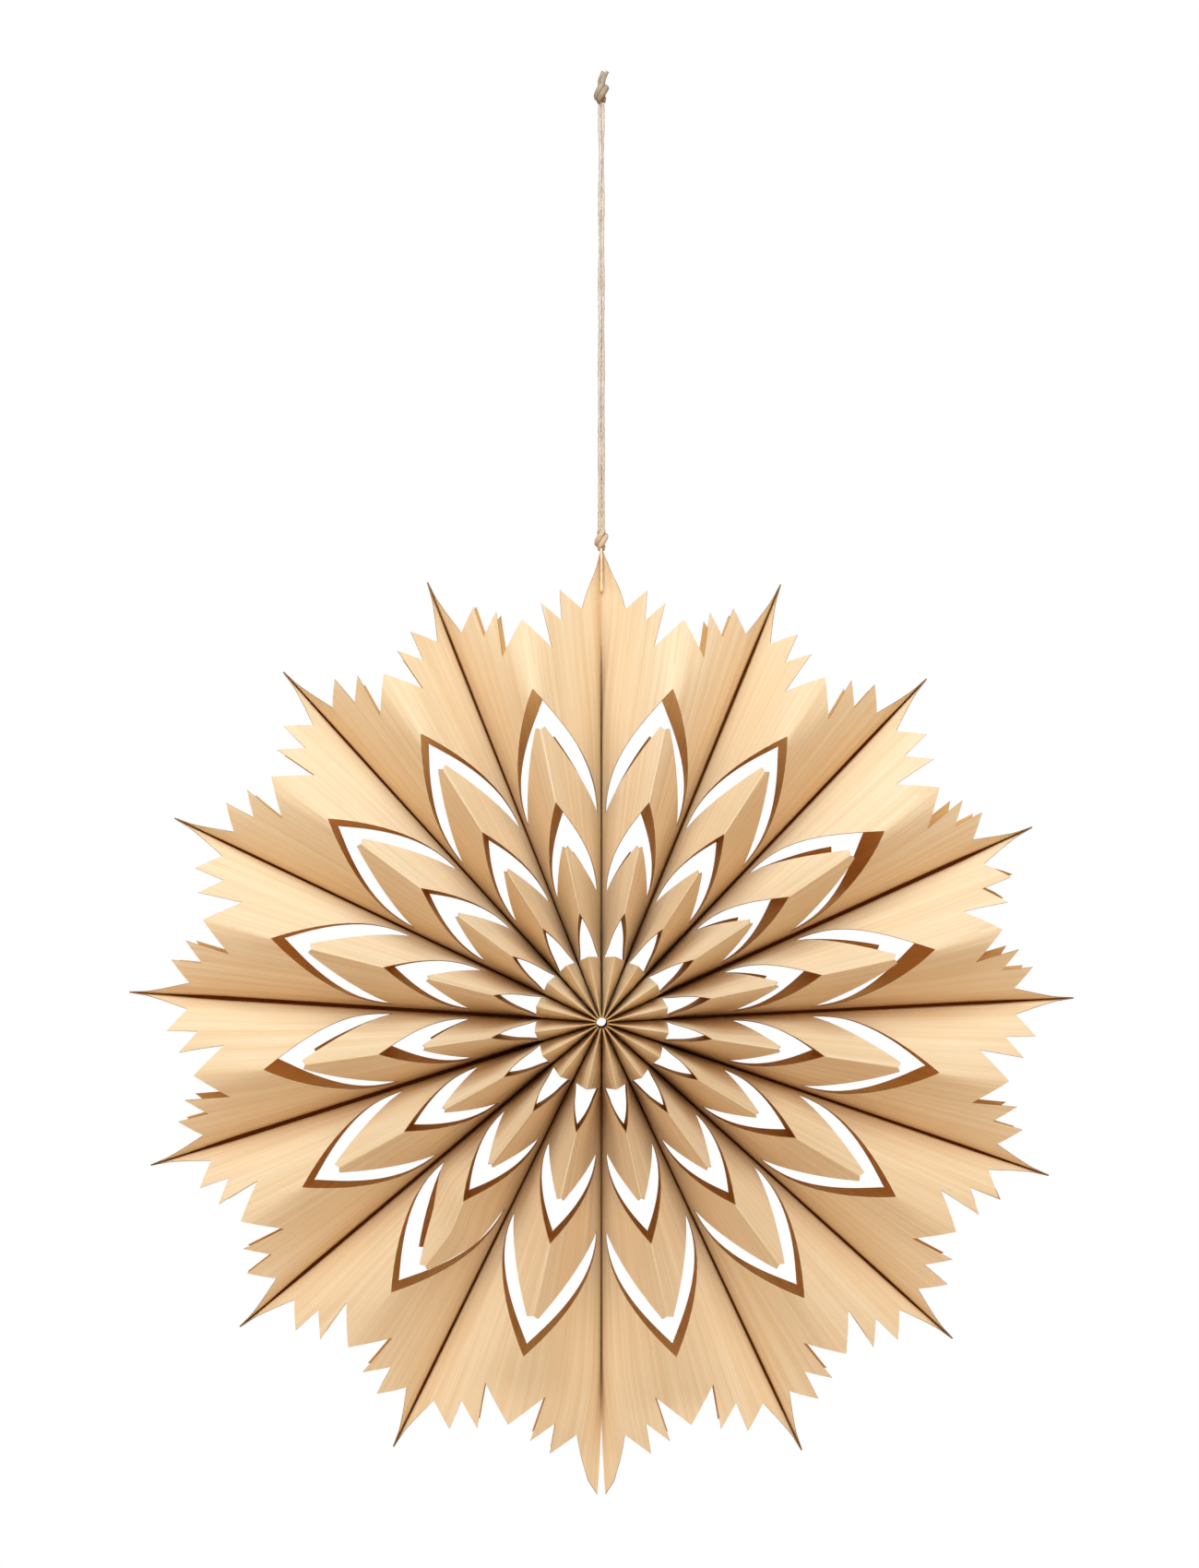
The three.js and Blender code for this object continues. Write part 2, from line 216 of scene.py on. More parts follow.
# Catmull-Rom through the points, at even steps
def smoothLine(points, step):
    ends = [2 * points[0] - points[1]] + points + [2 * points[-1] - points[-2]]
    line = []
    for a, b, c, d in zip(ends, ends[1:], ends[2:], ends[3:]):
        count = max(1, round((c - b).length / step))
        for i in range(count):
            u = i / count
            line.append(0.5 * (2 * b + (c - a) * u + (2 * a - 5 * b + 4 * c - d) * u ** 2
                               + (3 * b - 3 * c + d - a) * u ** 3))
    return line + [points[-1]]


# A turn and place for each point of a line, carried along it without twist
def lineFrames(line):
    ahead = (line[1] - line[0]).normalized()
    turn = ahead.to_track_quat("Z", "Y")
    frames = []
    for i, point in enumerate(line):
        towards = (line[min(i + 1, len(line) - 1)] - line[max(i - 1, 0)]).normalized()
        turn = ahead.rotation_difference(towards) @ turn
        ahead = towards
        frames.append(Matrix.Translation(point) @ turn.to_matrix().to_4x4())
    return frames


def sweepTube(bm, line, radii, sides):
    frames = [place @ Matrix.Scale(r, 4) for place, r in zip(lineFrames(line), radii)]
    circle = bmesh.ops.create_circle(bm, cap_ends=True, segments=sides, radius=1, matrix=frames[0])
    cap = circle["verts"][0].link_faces[0]
    inside = []
    for before, after in zip(frames, frames[1:]):
        grown = bmesh.ops.extrude_face_region(bm, geom=[cap])["geom"]
        cap = next(g for g in grown if isinstance(g, bmesh.types.BMFace))
        bmesh.ops.transform(bm, verts=cap.verts[:], matrix=after @ before.inverted())
        inside.append(cap)
    bmesh.ops.delete(bm, geom=inside[:-1], context="FACES_ONLY")


def twistPlies(bm, line, thick, phase):
    frames = lineFrames(line)
    walked = [0.0]
    for a, b in zip(line, line[1:]):
        walked.append(walked[-1] + (b - a).length)
    for ply in (0, math.pi):
        turns = [2 * math.pi * w / twine["plyPitch"] + phase + ply for w in walked]
        side = [place @ Vector((twine["plyOff"] * t * math.cos(a), twine["plyOff"] * t * math.sin(a), 0))
                for place, a, t in zip(frames, turns, thick)]
        apart = Vector((0, 0, ply * twine["lumpApart"] + phase))
        uneven = [noise.noise(p * twine["lumpScale"] + apart) for p in line]
        radii = [twine["plyRadius"] * t * (1 + twine["lump"] * u) for u, t in zip(uneven, thick)]
        sweepTube(bm, side, radii, twine["plySides"])


def addHairs(bm, line, count, apart):
    frames = lineFrames(line)
    for _ in range(count):
        place = random.choice(frames)
        around = random.uniform(0, 2 * math.pi)
        tilt = random.uniform(-twine["hairTilt"], twine["hairTilt"])
        out = Vector((math.cos(around), math.sin(around), tilt)).normalized()
        length = random.uniform(*twine["hairLength"])
        aim = (place.to_3x3() @ out).to_track_quat("Z", "Y").to_matrix().to_4x4()
        base = place @ (Vector((out.x, out.y, 0)) * apart)
        middle = Matrix.Translation(base) @ aim @ Matrix.Translation((0, 0, length / 2))
        bmesh.ops.create_cone(bm, cap_ends=True, segments=3, radius1=twine["hairRadius"],
                              radius2=twine["hairTip"] * twine["hairRadius"], depth=length, matrix=middle)


def finishTwine(bm):
    bmesh.ops.recalc_face_normals(bm, faces=bm.faces)
    for face in bm.faces:
        face.smooth = len(face.verts) == 4
    return bm


def makeLeg(name, node, phase):
    points = []
    for i in range(twine["legPoints"]):
        share = i / (twine["legPoints"] - 1)
        apart, roll = (low + (high - low) * share for low, high in (twine["legApart"], twine["legRoll"]))
        turn = roll * math.sin(2 * math.pi * twine["legWaves"] * share) + phase
        height = twine["legBase"] + (twine["legTop"] - twine["legBase"]) * share
        points.append(Vector((apart * math.cos(turn), apart * math.sin(turn), height)))
    line = smoothLine(points, twine["ringStep"])
    bm = bmesh.new()
    twistPlies(bm, line, [1.0] * len(line), phase)
    random.seed(node)
    addHairs(bm, line, twine["hairs"], 0.5 * twine["strand"])
    piece = makePiece(finishTwine(bm), name, [juteTwine], "hanger", [node])
    length = sum((b - a).length for a, b in zip(line, line[1:]))
    return piece, [p * mm for p in line], length * mm


def makeLoop():
    half = [Vector((0, -y, s)) for y, s in twine["loopHalf"]]
    back = [Vector((0, -p.y, p.z)) for p in reversed(half)]
    lift = Vector((0, 0, starCentre.z / mm))
    points = [p + lift for p in half + [Vector((0, 0, twine["slotAt"]))] + back]
    line = smoothLine(points, twine["ringStep"])
    start, end, bend = twine["loopBend"]
    thick = []
    for p in line:
        near = fadeIn(p.z - lift.z, start, end)
        thick.append(twine["loopThick"] + (bend - twine["loopThick"]) * near)
    bm = bmesh.new()
    twistPlies(bm, line, thick, 0.5)
    piece = makePiece(finishTwine(bm), "twine_loop_strand", [juteLitInFold], "hanger", ["twine_loop"])
    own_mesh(piece)


# A knot is wound as slanting turns of twine over a swelling core
def makeKnot(name, node, knot, material):
    strand = knot["strand"]
    cut, waist, thin = knotTurns["endCut"], knotTurns["waist"], knotTurns["thinEnd"]
    swellPower = math.log(0.5) / math.log(knot["widest"])
    count = round(knot["wraps"] * knotTurns["pointsPerWrap"])
    bm = bmesh.new()
    for phase in (0, math.pi):
        line = []
        for i in range(count + 1):
            share = i / count
            swell = math.sin(math.pi * (cut + (1 - 2 * cut) * share) ** swellPower)
            reach = (knot["width"] / 2 - strand) * (waist + (1 - waist) * swell)
            turn = math.pi * knot["wraps"] * share + phase
            height = (share - 0.5) * (knot["height"] - knotTurns["inset"] * strand)
            line.append(Vector((reach * math.cos(turn), reach * math.sin(turn),
                                knot["at"] + height + knot["slant"] * reach * math.cos(turn) * swell)))
        whole = [fadeIn(min(i, count - i), 0, knotTurns["thinOver"] * count) for i in range(count + 1)]
        sweepTube(bm, line, [strand * (thin + (1 - thin) * w) for w in whole], knotTurns["sides"])
    core = Matrix.Translation((0, 0, knot["at"])) @ Matrix.Diagonal((1, 1, knotTurns["coreTall"], 1))
    bmesh.ops.create_uvsphere(bm, u_segments=knotTurns["sides"], v_segments=8,
                              radius=knot["width"] / 2 - strand, matrix=core)
    return makePiece(finishTwine(bm), name, [material], "hanger", [node])


def makeEnd(name, node, side):
    near = side * twine["endApart"]
    points = [Vector((near + twine["endSpread"] * u * u, 0, twine["endStart"] + twine["endLength"] * u))
              for u in twine["endShares"]]
    line = smoothLine(points, twine["ringStep"])
    bm = bmesh.new()
    twistPlies(bm, line, [twine["endThick"]] * len(line), side)
    random.seed(node)
    addHairs(bm, line[-3:], twine["endHairs"], twine["endHairsApart"])
    return makePiece(finishTwine(bm), name, [juteKnotted], "hanger", [node])


def makeTwine():
    makeLoop()
    makeKnot("lower_knot_wound", "lower_knot", lowerKnot, juteTwine)
    onTop = [
        makeKnot("top_knot_wound", "top_knot", topKnot, juteKnotted),
        makeEnd("twine_cut_end_right", "twine_end_right", 1),
        makeEnd("twine_cut_end_left", "twine_end_left", -1),
    ]
    for side, phase, carried in (("right", 0.0, onTop), ("left", math.pi, [])):
        leg, path, length = makeLeg("twine_strand_" + side, "twine_leg_" + side, phase)
        print("twine %s: %.1f mm" % (side, length / mm))


makeTwine()


# Wood veneer, sliced thin and sanded: fine straight grain along the spike, soft wide growth bands
# and a few short dark pores. The sheet's UV map is its flat blank in metres, u across the grain.
veneerGrain = {
    "fibreWide": 0.75, "fibreLong": 60,   # hair-fine streaks, as coarse as they need to show
    "bandWide": 2.6, "bandLong": 240,     # growth bands
    "poreWide": 0.5, "poreLong": 5,       # short dark ticks
    "blotch": 34,                         # cloudy tone of the wood
    "lightThrough": 0.1,                  # share of the light that passes the thin sheet
    "toneSpread": 0.12,                   # sheets are paler or warmer by up to this
    "blankApart": (390, 57),              # each sheet is cut from its own place on the wood
}


def veneerMaterial(name, pale, golden, streak, roughness, sheen):
    material, tree = newMaterial(name)
    blank = addNode(tree, "ShaderNodeUVMap", uv_map="blank").outputs["UV"]

    def grain(wide, long, detail, shift):
        scale = (1 / (wide * mm), 1 / (long * mm), 1)
        drawn = addNode(tree, "ShaderNodeMapping", {
            "Vector": blank, "Scale": scale, "Location": (0, 0, shift)})
        return addNode(tree, "ShaderNodeTexNoise", {
            "Vector": drawn.outputs["Vector"], "Scale": 1.0, "Detail": detail,
            "Roughness": 0.55}).outputs["Fac"]

    fibre = grain(veneerGrain["fibreWide"], veneerGrain["fibreLong"], 3.0, 0)
    band = grain(veneerGrain["bandWide"], veneerGrain["bandLong"], 2.0, 7)
    pore = grain(veneerGrain["poreWide"], veneerGrain["poreLong"], 1.0, 13)
    blotch = grain(veneerGrain["blotch"], 2 * veneerGrain["blotch"], 2.0, 21)
    tone = addNode(tree, "ShaderNodeAttribute", attribute_name="tone").outputs["Fac"]

    bandShare = addNode(tree, "ShaderNodeMapRange", {
        "Value": band, "From Min": 0.38, "From Max": 0.64, "To Min": -0.24, "To Max": 0.26}).outputs[0]
    blotchShare = addNode(tree, "ShaderNodeMapRange", {
        "Value": blotch, "From Min": 0.3, "From Max": 0.7, "To Min": 0.3, "To Max": 0.6}).outputs[0]
    clouded = addNode(tree, "ShaderNodeMath", {0: bandShare, 1: blotchShare}, operation="ADD").outputs[0]
    warm = addNode(tree, "ShaderNodeMath", {0: clouded, 1: tone}, operation="ADD", use_clamp=True)
    wood = addNode(tree, "ShaderNodeMix", {
        "Factor": warm.outputs[0], 6: linear(pale), 7: linear(golden)}, data_type="RGBA")
    fibreShare = addNode(tree, "ShaderNodeMapRange", {
        "Value": fibre, "From Min": 0.42, "From Max": 0.76, "To Max": 0.3})
    streaked = addNode(tree, "ShaderNodeMix", {
        "Factor": fibreShare.outputs[0], 6: wood.outputs[2], 7: linear(streak)}, data_type="RGBA")
    poreShare = addNode(tree, "ShaderNodeMapRange", {
        "Value": pore, "From Min": 0.72, "From Max": 0.82, "To Max": 0.3})
    pored = addNode(tree, "ShaderNodeMix", {
        "Factor": poreShare.outputs[0], 6: streaked.outputs[2], 7: linear("#8A5A2E")}, data_type="RGBA")

    relief = addNode(tree, "ShaderNodeBump", {"Height": fibre, "Strength": 0.2, "Distance": 0.05 * mm})
    gloss = addNode(tree, "ShaderNodeMapRange", {
        "Value": fibre, "To Min": roughness - 0.06, "To Max": roughness + 0.08}).outputs[0]
    shader = addNode(tree, "ShaderNodeBsdfPrincipled", {
        "Base Color": pored.outputs[2], "Roughness": gloss, "IOR": 1.5, "Specular IOR Level": sheen,
        "Normal": relief.outputs["Normal"]})
    glow = addNode(tree, "ShaderNodeBsdfTranslucent", {"Color": pored.outputs[2]})
    thin = addNode(tree, "ShaderNodeMixShader", {
        0: veneerGrain["lightThrough"], 1: shader.outputs["BSDF"], 2: glow.outputs["BSDF"]})
    finishMaterial(tree, thin.outputs["Shader"])
    return material


veneerFace = veneerMaterial("birch_veneer_sanded", "#F0D8B0", "#E3C190", "#D0AA76", 0.5, 0.15)
# The sheet's back: rougher than the sanded face, in a deeper orange that is painted shade inside the cells
veneerBackShaded = veneerMaterial("birch_veneer_back_painted_shade", "#EFBF78", "#DFA860", "#CC914C", 0.75, 0.05)
veneerEdge = veneerMaterial("birch_veneer_cut_edge", "#A97B49", "#8F6437", "#6C4722", 0.75, 0.1)


# Veneer sleeves: each one sheet folded to a flat tube, die-cut, and opened between two valleys
veneerSleeve = {
    "perWing": 8, "spikeLength": 201, "closureStretch": 3.9, "stretchPower": 5, "rimLean": 72,
    "sheet": 0.3, "hubRadius": 2.1, "gluedHalf": 2.4, "bendWidth": 5,
    "glueGap": 0.14,                # between two sleeves; below, from where to where, and how it fades
    "gapSpan": {"glued": (12, 186, 8), "top": (12, 158, 8)},
    "crease": (3.8, 6.6),           # the strip beside the glue ends here, pressed nearly flat
    "hubPress": (25, 18, 34),       # how much wider it is at the hub, and from where to where that fades
    "strip": {"glued": 0.12, "top": {1: 0.95, -1: 0.5}, "bottom": 0.8},  # share of the panel's lean it has
    "stripOpens": {"top": (120, 178), "bottom": (141, 190)},
    "tipPinch": (180, 198, 0.55),   # the loop of twine draws the top spike together here
    "panelFrom": 0.6, "panelTo": 1.06, "panelBow": 6,     # a panel leans more towards its ridge
    "ridgeRound": (1.0, 120, 165),  # width of the rounded fold, and from where to where it widens
    "rimRound": (16, 13, 10, 9, 9, 9, 10, 11),  # its width at the rim, sleeve by sleeve from the top
    "spikeTip": (4.6, 6),           # half width and drop of the point, on the flat sheet
    "ridgePeakDrop": 32,
    "rimTeeth": [(26.5, 0.2), (18.8, 0.46), (32, 0.475), (24.8, 0.71), (43.6, 0.65)],  # drop, share
    "outerWindow": {"tip": 139.5, "petalGap": 16, "height": 51.5, "land": 2.3},
    "middleWindow": {"tip": 91.7, "petalGap": 18, "height": 37, "land": 5.5},
    "innerWindow": {"tip": 45.5, "height": 18, "land": 12.7},
    "leafCurve": (0.55, 0.357, -0.02, 0.283),  # how far its edge bows, as shares of width and height
    "dropCurve": (0.5, 0.333, 0.167, 0.333),   # the same for the window at the hub, which has no leaf
    "hornHalf": 3.2, "hornNotch": 1.5,
    "closureSplay": 1.7, "closureTouch": 168,   # the bottom halves touch up to here
    "closureCurl": 1.4,                         # and part faster the farther out
    "twineSlot": (182.6, 184.0, 1.2),           # from, to and half depth
    "curveSteps": 16, "rowStep": 5, "stripStep": 4,
    "foldCuts": {"crease": 6, "bow": 4, "ridge": 4},
    "flatPack": 0.038,              # share of its opening that a sleeve keeps when the fan is shut
}
# Hand-made unevenness: degrees that a wing's valleys turn, clockwise on the right and back on the left,
# and millimetres that a sleeve's front ridge leans clockwise
valleyShift = {1: (0.7, 0.3, 0.9, 0.6, 0.5, 1.1, 0.4), -1: (0, -0.9, -0.3, -0.1, -0.8, -0.8, -0.6)}
ridgeLean = (2.2, 0.2, 3.2, 3.0, 1.0, 0.3, 0.4, -0.2, 0.3, 0, 0.2, -2.2, -0.6, 0.2, -0.2, -2.2)
# Millimetres that the sheet stands off a wing's valleys beside the glue, from the top
valleyMouth = {1: (0.3, 0.3, 0.65, 0.5, 0.35, 0.25, 0.2), -1: (0.15, 0.15, 0.2, 0.65, 0.7, 0.45, 0.2)}
mouthSpan = {"opens": (10, 35), "ends": (160, 188), "rises": 3.5, "closes": (4, 16)}
# Millimetres that a leaf leans, and that the back of a panel slips out, so that its teeth show
petalLean = {10: -4.2}
backSlip = {4: 5, 6: 5, 16: 3.5, 11: 3}
handMade = {
    "wave": (1.12, 0.022, 7.3),     # millimetres, tightness and shift from sleeve to sleeve
    "curl": (0.7, 0.09, 5.1),
    "rim": (140, 180),
    "leanFull": 139, "leanEased": 169, "leanLost": 0.45,  # a ridge leans most at its outer window
    "backLean": -0.6,               # and the other way behind
    "petalBend": 20, "petalEdge": 0.5,
}
cutWithin, mergeWithin, onRidge = 1e-5, 1e-3, 1e-4  # millimetres that count as touching
sleeveCount = veneerSleeve["perWing"]
stretches = [veneerSleeve["closureStretch"] * (k / sleeveCount) ** veneerSleeve["stretchPower"]
             for k in range(1, sleeveCount + 1)]
openings = [math.radians((180 - sum(stretches)) / sleeveCount + stretch) for stretch in stretches]
spike = veneerSleeve["spikeLength"]
bendEnd = veneerSleeve["gluedHalf"] + veneerSleeve["bendWidth"]
panelRoot = veneerSleeve["gluedHalf"] + veneerSleeve["bendWidth"] / 2
ridgePeak = spike - veneerSleeve["ridgePeakDrop"]
rimSlope = math.sin(math.radians(veneerSleeve["rimLean"]))
panelSpread = ridgePeak * math.tan(openings[-1] / 2) / rimSlope
panelWidth = panelRoot + panelSpread


# A window's edge on the flat sheet, from its tip on the ridge to its end beside the valley
def windowEdge(window, curve):
    valley = bendEnd + window["land"]
    reach = panelWidth - valley
    tip, height = window["tip"], window["height"]
    tipSide, tipDown, endSide, endUp = curve
    points = geometry.interpolate_bezier(
        (panelWidth, tip), (panelWidth - tipSide * reach, tip - tipDown * height),
        (valley + endSide * reach, tip - (1 - endUp) * height), (valley, tip - height),
        veneerSleeve["curveSteps"])
    return [tuple(p[:2]) for p in points]


def leafEdge(window):
    petal = window["tip"] - window["petalGap"]
    horns = [(panelWidth - veneerSleeve["hornHalf"], petal), (panelWidth, petal - veneerSleeve["hornNotch"])]
    return windowEdge(window, veneerSleeve["leafCurve"]) + horns


def dropEdge(window):
    return windowEdge(window, veneerSleeve["dropCurve"]) + [(panelWidth, window["tip"] - window["height"])]


def cutAcross(bm, planes):
    for place, normal in planes:
        bmesh.ops.bisect_plane(bm, geom=bm.verts[:] + bm.edges[:] + bm.faces[:], dist=cutWithin,
                               plane_co=place, plane_no=normal)


# A quarter of the blank, from the glue line to a ridge, cut into strips and rows so that it can fold
def flatPanel():
    tipHalf, tipDrop = veneerSleeve["spikeTip"]
    outline = [(0, veneerSleeve["hubRadius"]), (0, spike), (tipHalf, spike - tipDrop)]
    outline += [(panelRoot + share * panelSpread, spike - drop) for drop, share in veneerSleeve["rimTeeth"]]
    outline += [(panelWidth, ridgePeak)]
    outline += leafEdge(veneerSleeve["outerWindow"])
    outline += leafEdge(veneerSleeve["middleWindow"])
    outline += dropEdge(veneerSleeve["innerWindow"])
    outline += [(panelWidth, veneerSleeve["hubRadius"])]
    bm = bmesh.new()
    bm.faces.new([bm.verts.new((t, s, 0)) for t, s in outline])
    first, second = veneerSleeve["crease"]
    cuts, rounded = veneerSleeve["foldCuts"], veneerSleeve["ridgeRound"][0]
    strips = [first / 2] + [first + (second - first) * i / cuts["crease"] for i in range(cuts["crease"] + 1)]
    strips += [second + veneerSleeve["panelBow"] * i / cuts["bow"] for i in range(1, cuts["bow"])]
    flat = second + veneerSleeve["panelBow"]
    count = int((panelWidth - flat) / veneerSleeve["stripStep"])
    strips += [flat + (panelWidth - flat) * i / count for i in range(count)]
    strips += [panelWidth - rounded * i / cuts["ridge"] for i in range(1, cuts["ridge"] + 1)]
    slotFrom, slotTo, slotHalf = veneerSleeve["twineSlot"]
    strips += [slotHalf]
    rows = [veneerSleeve["rowStep"] * i for i in range(1, int(spike / veneerSleeve["rowStep"]) + 1)]
    rows += [slotFrom, slotTo]
    cutAcross(bm, [((t, 0, 0), (1, 0, 0)) for t in strips] + [((0, s, 0), (0, 1, 0)) for s in rows])
    return bm


# The sheet's lean has three parts: the strip beside the glue, which fades out over the crease, the panel,
# which fades in there, and the bow that the panel has lost near the crease
def leanParts(t, s):
    wider, start, end = veneerSleeve["hubPress"]
    pressed = wider * (1 - fadeIn(s, start, end))
    first, second = (at + pressed for at in veneerSleeve["crease"])
    fade = fadeIn(t, first, second)
    return 1 - fade, fade, fade * math.exp(-max(t - second, 0) / veneerSleeve["panelBow"])


foldSteps = 90
wholeParts = {}


def sumParts(s):
    if s not in wholeParts:
        rows = [leanParts(panelWidth * (i + 0.5) / foldSteps, s) for i in range(foldSteps)]
        wholeParts[s] = [sum(column) * panelWidth / foldSteps for column in zip(*rows)]
    return wholeParts[s]


def ridgeWidth(s, sleeve):
    width, start, end = veneerSleeve["ridgeRound"]
    return width + (sleeve["rimRound"] - width) * fadeIn(s, start, end)


# The bottom valley is closed by magnets, with no gap for glue
def valleyGap(s, valleyKind):
    if valleyKind == "bottom":
        return 0.0
    start, end, fade = veneerSleeve["gapSpan"][valleyKind]
    return veneerSleeve["glueGap"] * smoothShare((s - start) / fade) * smoothShare((end - s) / fade)


def stripOpening(s, valleyKind):
    if valleyKind == "glued":
        return 0.0
    opened = fadeIn(s, *veneerSleeve["stripOpens"][valleyKind])
    if valleyKind == "top":
        start, end, share = veneerSleeve["tipPinch"]
        opened *= 1 - share * fadeIn(s, start, end)
    return opened


# How far a point of the sheet stands off its valley plane, and its depth
def sectionAt(t, s, sleeve, valleyKind):
    gap = valleyGap(s, valleyKind)
    lean = max(s * math.tan(sleeve["half"]) - gap / 2, 0) / panelSpread
    opened = stripOpening(s, valleyKind)
    glued = veneerSleeve["strip"]["glued"]
    most = veneerSleeve["strip"][valleyKind]
    if valleyKind == "top":
        most = most[sleeve["wing"]]
    strip = glued + (most - glued) * opened
    full = veneerSleeve["panelTo"]
    lost = (full - veneerSleeve["panelFrom"]) * (1 - opened)
    stripSum, panelSum, bowSum = sumParts(s)
    panel = (panelSpread - strip * stripSum) / (full * panelSum - lost * bowSum)
    off, depth, share = gap / 2, 0.0, 0.0
    steps = max(2, int(foldSteps * t / panelWidth))
    for i in range(steps):
        stripPart, panelPart, bowPart = leanParts(t * (i + 0.5) / steps, s)
        share = lean * (strip * stripPart + panel * (full * panelPart - lost * bowPart))
        off += share * t / steps
        depth += math.sqrt(1 - min(share, rimSlope) ** 2) * t / steps
    width = ridgeWidth(s, sleeve)
    toRidge = panelWidth - t
    if toRidge < width:
        rise = math.sqrt(1 - min(share, rimSlope) ** 2)
        depth -= rise * ((toRidge ** 2 + width ** 2) / (2 * width) - toRidge)
    if toRidge < onRidge:
        off = s * math.tan(sleeve["half"])
    return off, depth


def foldPoint(t, s, sleeve, valleyKind):
    half = sleeve["half"]
    off, depth = sectionAt(t, s, sleeve, valleyKind)
    across = s * math.sin(half) - off * math.cos(half)
    along = s * math.cos(half) + off * math.sin(half)
    return Vector((max(across, 0), -depth, along))


# How free a point is to move: not at all beside the glue, and wholly at the ridge
def freeShare(t):
    return fadeIn(t, bendEnd, panelWidth)


# A point folded at the top or bottom valley: the strip opens, and the ridge stays where it was
def openPoint(t, s, sleeve, valleyKind):
    point = foldPoint(t, s, sleeve, valleyKind)
    moved = sectionAt(panelWidth, s, sleeve, "glued")[1] - sectionAt(panelWidth, s, sleeve, valleyKind)[1]
    point.y -= moved * smoothShare(t / panelWidth)
    if valleyKind == "bottom":
        past = max(s - veneerSleeve["closureTouch"], 0) / (spike - veneerSleeve["closureTouch"])
        splay = veneerSleeve["closureSplay"] * past ** veneerSleeve["closureCurl"]
        point.x -= splay * (1 - freeShare(t))
    return point


def mouthAt(t, s, wide):
    between = fadeIn(s, *mouthSpan["opens"]) * (1 - fadeIn(s, *mouthSpan["ends"]))
    return wide * between * fadeIn(t, 0, mouthSpan["rises"]) * (1 - fadeIn(t, *mouthSpan["closes"]))


def onPetal(t, s):
    window = veneerSleeve["outerWindow"]
    valley, end = bendEnd + window["land"], window["tip"] - window["height"]
    rise = (window["height"] - window["petalGap"]) / (panelWidth - veneerSleeve["hornHalf"] - valley)
    if t <= valley or s >= end + (t - valley) * rise + handMade["petalEdge"]:
        return 0.0
    return fadeIn(s, end, end + handMade["petalBend"])


def unevenMove(point, t, s, sleeve):
    number = sleeve["number"]
    free = freeShare(t)
    far = (s / spike) ** 2
    most, tight, apart = handMade["wave"]
    wave = most * noise.noise(point * tight + Vector((number * apart, 0, number)))
    most, tight, apart = handMade["curl"]
    curl = most * noise.noise(point * tight + Vector((0, number * apart, number)))
    outward = -1 if point.y < 0 else 1
    rim = fadeIn(s, *handMade["rim"])
    full, eased = handMade["leanFull"], handMade["leanEased"]
    swing = fadeIn(s, 0, full) * (1 - handMade["leanLost"] * fadeIn(s, full, eased))
    shift = ridgeLean[number - 1] * free * swing * (1 if outward < 0 else handMade["backLean"])
    if outward < 0:
        shift += petalLean.get(number, 0) * onPetal(t, s)
    slip = 0.0
    if outward > 0 and point.x < 0:
        slip = backSlip.get(number, 0) * rim * 4 * free * (1 - free)
    side = 1 if point.x > 0 else -1
    shift -= side * mouthAt(t, s, sleeve["mouth"][side])
    return Vector((shift, outward * free * (far * wave + rim * curl), slip))


# The loop of twine goes through a slot in the two sheets beside the top valley
def cutTwineSlot(bm, sleeve, across, along):
    slotFrom, slotTo, slotHalf = veneerSleeve["twineSlot"]
    slot = []
    for face in bm.faces:
        count = len(face.verts)
        t = sum(v[across] for v in face.verts) / count
        s = sum(v[along] for v in face.verts) / count
        if t < slotHalf and slotFrom < s < slotTo and face.calc_center_median().x * sleeve["wing"] < 0:
            slot.append(face)
    bmesh.ops.delete(bm, geom=slot, context="FACES")


# Gives the sheet its thickness, its flat blank as UV map, and its face, back and cut edge
def finishSheet(bm, sleeve, across, along):
    outside = set(bm.faces)
    inside = set(bmesh.ops.solidify(bm, geom=bm.faces[:], thickness=veneerSleeve["sheet"])["geom"])
    blank = bm.loops.layers.uv.new("blank")
    startAcross, startAlong = (apart * sleeve["number"] for apart in veneerGrain["blankApart"])
    for face in bm.faces:
        middle = face.calc_center_median()
        side = 1 if middle.x > 0 else -1
        back = 4 * panelWidth if middle.y > 0 else 0
        for loop in face.loops:
            q = side * (panelWidth - loop.vert[across]) + back + startAcross
            loop[blank].uv = (q * mm, (loop.vert[along] + startAlong) * mm)
        face.smooth = True
        face.material_index = 0 if face in outside else 1 if face in inside else 2
    for edge in bm.edges:
        inValley = all(v[across] < mergeWithin for v in edge.verts)
        edge.smooth = not inValley and len({face.material_index for face in edge.link_faces}) == 1


